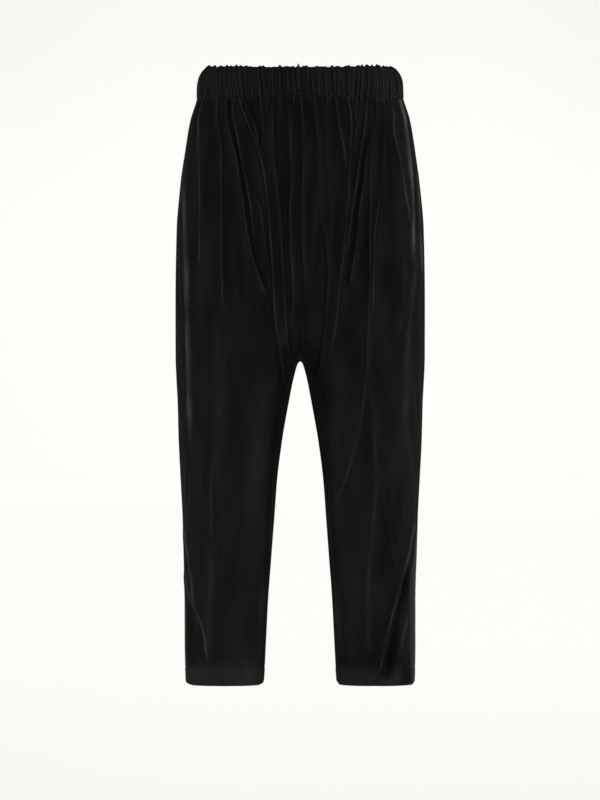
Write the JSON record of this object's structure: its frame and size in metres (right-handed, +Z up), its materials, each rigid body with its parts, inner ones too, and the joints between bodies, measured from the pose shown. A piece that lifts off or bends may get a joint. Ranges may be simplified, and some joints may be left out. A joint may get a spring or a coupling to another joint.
{
  "type": "track pants",
  "caption": "Velour track pants with an elasticated gathered waist, tapered legs, turned-up hems and a smooth tape down each side, filled out with no wearer.",
  "frame": {"origin": "middle of the waistband, half way down its 50 mm height, where the wearer holds the garment up", "axes": "+Z up, -Y to the front of the garment, +X to the wearer's left"},
  "size_m": [0.4068, 0.2939, 1.0076],
  "materials": {
    "velour": "near-black cotton velour with a short nap and a soft sheen at grazing angles",
    "tape": "smooth dark grey-blue woven tape"
  },
  "bodies": {
    "root": {"panel_front_left": "velour", "panel_front_right": "velour", "panel_back_left": "velour", "panel_back_right": "velour", "waistband": "velour", "side_tape_left": "tape", "side_tape_right": "tape"}
  },
  "joints": []
}
